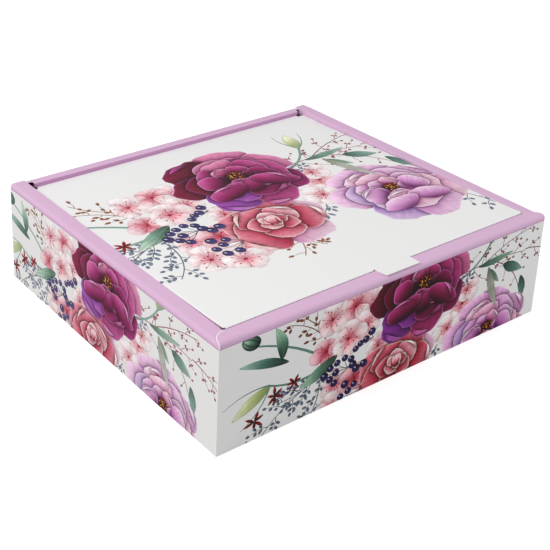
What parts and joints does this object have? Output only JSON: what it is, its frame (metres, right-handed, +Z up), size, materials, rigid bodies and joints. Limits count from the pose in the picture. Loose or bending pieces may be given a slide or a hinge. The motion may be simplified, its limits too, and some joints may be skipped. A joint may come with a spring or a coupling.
{
  "type": "folding flower box",
  "caption": "Low square paperboard gift box for flowers with rolled rims, hollow frame walls, an inset hinged lid, tuck flaps and a thumb tab.",
  "frame": {"origin": "middle of the underside of the base", "axes": "+X runs right along the front wall, +Y from the front to the back, +Z up"},
  "size_m": [0.3, 0.265, 0.0828],
  "materials": {
    "printed_board": "satin coated white board with a printed flower pattern",
    "lilac_board": "satin coated board printed plain lilac",
    "plain_board": "matte uncoated white board"
  },
  "bodies": {
    "box": {"base": "plain_board", "front_wall": "printed_board", "back_wall": "printed_board", "left_wall": "printed_board", "right_wall": "printed_board", "front_rim": "lilac_board", "left_rim": "lilac_board", "right_rim": "lilac_board", "back_rim": "lilac_board", "front_inner_wall": "lilac_board", "left_inner_wall": "lilac_board", "right_inner_wall": "lilac_board", "front_foot": "lilac_board", "left_foot": "lilac_board", "right_foot": "lilac_board", "front_left_glue_tab": "plain_board", "front_right_glue_tab": "plain_board", "back_left_glue_tab": "plain_board", "back_right_glue_tab": "plain_board"},
    "riser": {"hinge_riser": "lilac_board"},
    "lid": {"lid_panel": "printed_board"},
    "thumb_tab": {"thumb_tab": "printed_board"},
    "front_flap": {"lid_front_flap": "lilac_board"},
    "left_flap": {"lid_left_flap": "lilac_board"},
    "right_flap": {"lid_right_flap": "lilac_board"}
  },
  "joints": [
    {"name": "riser_hinge", "type": "hinge", "parent": "box", "child": "riser", "pos_m": [0, 0.1235, 0.0808], "axis": [-1, 0, 0], "range_deg": [0, 75]},
    {"name": "lid_hinge", "type": "hinge", "parent": "riser", "child": "lid", "pos_m": [0, 0.1235, 0.077], "axis": [-1, 0, 0], "range_deg": [0, 75]},
    {"name": "thumb_tab_crease", "type": "hinge", "parent": "lid", "child": "thumb_tab", "pos_m": [0.0045, -0.12101, 0.08231], "axis": [-1, 0, 0], "range_deg": [0, 70]},
    {"name": "front_flap_crease", "type": "hinge", "parent": "lid", "child": "front_flap", "pos_m": [0, -0.12057, 0.08174], "axis": [1, 0, 0], "range_deg": [0, 72]},
    {"name": "left_flap_crease", "type": "hinge", "parent": "lid", "child": "left_flap", "pos_m": [-0.13705, 0.00351, 0.07893], "axis": [0, -0.9997, 0.0227], "range_deg": [0, 72]},
    {"name": "right_flap_crease", "type": "hinge", "parent": "lid", "child": "right_flap", "pos_m": [0.13705, 0.00351, 0.07893], "axis": [0, 0.9997, -0.0227], "range_deg": [0, 72]}
  ],
  "couplings": [
    {"joint": "riser_hinge", "follows": "lid_hinge", "ratio": 1}
  ]
}
